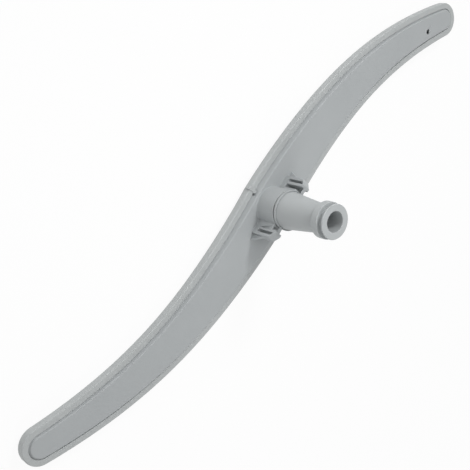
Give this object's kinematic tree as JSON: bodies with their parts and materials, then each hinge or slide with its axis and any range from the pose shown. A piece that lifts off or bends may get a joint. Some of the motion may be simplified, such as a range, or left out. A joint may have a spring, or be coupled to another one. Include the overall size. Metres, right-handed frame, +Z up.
{
  "type": "dishwasher spray arm",
  "caption": "S-shaped hollow dishwasher spray arm of two moulded shells, spinning on a conical feed spigot held by snap hooks at its collar.",
  "frame": {"origin": "on the hub axis, on the plane of the flat back that the arm rests on", "axes": "+Z up the feed spigot, +X from the hub towards the arm end that has the drive jet"},
  "size_m": [0.47, 0.0728, 0.0757],
  "materials": {
    "shell_grey": "satin moulded",
    "spigot_grey": "satin moulded"
  },
  "bodies": {
    "feed": {"spigot": "spigot_grey"},
    "arm": {"back_shell": "shell_grey", "front_shell": "shell_grey"}
  },
  "joints": [
    {"name": "arm_spin", "type": "hinge", "parent": "feed", "child": "arm", "pos_m": [0, 0, 0.022], "axis": [0, 0, 1], "continuous": true}
  ]
}
